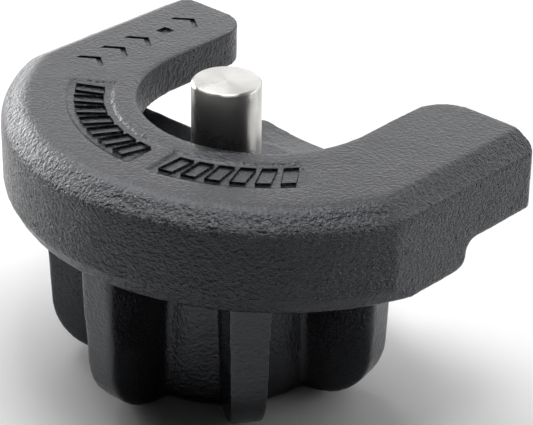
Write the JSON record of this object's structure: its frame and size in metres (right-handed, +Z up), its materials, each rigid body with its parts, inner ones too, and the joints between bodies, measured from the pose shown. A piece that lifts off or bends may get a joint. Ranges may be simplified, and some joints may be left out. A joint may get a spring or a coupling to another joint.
{
  "type": "trailer coupler lock",
  "caption": "Horseshoe casting that closes round a trailer coupler's nose; a steel pin held by a keyed lock unit in the finned hub stands in the ball socket.",
  "frame": {"origin": "on the locking pin's axis, level with the top face of the horseshoe collar", "axes": "+Z up along the pin, +Y out of the mouth of the horseshoe, +X to the right arm"},
  "size_m": [0.185, 0.1384, 0.1142],
  "materials": {
    "powder_coat": "rough cast iron under black textured powder coat",
    "stainless": "turned and polished stainless steel",
    "stainless_satin": "turned satin stainless steel",
    "liner_steel": "honed steel sleeve",
    "hard_steel": "ground hardened steel",
    "black_steel": "black oxide",
    "nickel": "nickel plated brass",
    "brass": "machined brass",
    "rubber": "black nitrile"
  },
  "bodies": {
    "casting": {"body_casting": "powder_coat", "bore_liner": "liner_steel"},
    "lock_unit": {"locking_pin": "stainless", "pin_wiper_ring": "rubber", "pin_retaining_screw": "black_steel", "lock_housing": "stainless_satin", "housing_o_ring": "rubber", "anti_rotation_dowel": "hard_steel", "cylinder_case": "brass", "face_plate": "stainless_satin", "face_plate_screws": "black_steel", "cover_rivet": "stainless_satin", "cover_spring_washer": "hard_steel"},
    "plug": {"key_drum": "nickel", "cam_driver": "hard_steel", "cam_plate": "brass", "cam_retaining_ring": "black_steel", "disc_spacers": "hard_steel", "sidebar": "hard_steel", "anti_drill_plate": "black_steel", "tumbler_disc_1": "brass", "tumbler_disc_2": "brass", "tumbler_disc_3": "brass", "tumbler_disc_4": "brass", "tumbler_disc_5": "brass", "tumbler_disc_6": "brass", "tumbler_disc_7": "brass", "tumbler_disc_8": "brass"},
    "bolt_left": {"latch_bolt_left": "hard_steel", "follower_pin_left": "hard_steel"},
    "bolt_right": {"latch_bolt_right": "hard_steel", "follower_pin_right": "hard_steel"},
    "cover": {"keyhole_cover": "stainless"}
  },
  "joints": [
    {"name": "lock_pull", "type": "slide", "parent": "casting", "child": "lock_unit", "axis": [0, 0, -1], "range_m": [0, 0.116]},
    {"name": "key_turn", "type": "hinge", "parent": "lock_unit", "child": "plug", "pos_m": [0, 0, -0.086], "axis": [0, 0, 1], "range_deg": [0, 90]},
    {"name": "bolt_left_throw", "type": "slide", "parent": "lock_unit", "child": "bolt_left", "axis": [-1, 0, 0], "range_m": [0, 0.00501]},
    {"name": "bolt_right_throw", "type": "slide", "parent": "lock_unit", "child": "bolt_right", "axis": [1, 0, 0], "range_m": [0, 0.00501]},
    {"name": "cover_swing", "type": "hinge", "parent": "lock_unit", "child": "cover", "pos_m": [0.0155, 0, -0.0988], "axis": [0, 0, 1], "range_deg": [0, 75]}
  ],
  "couplings": [
    {"joint": "bolt_left_throw", "follows": "key_turn", "m_per_rad": 0.0031831},
    {"joint": "bolt_right_throw", "follows": "key_turn", "m_per_rad": 0.0031831}
  ]
}
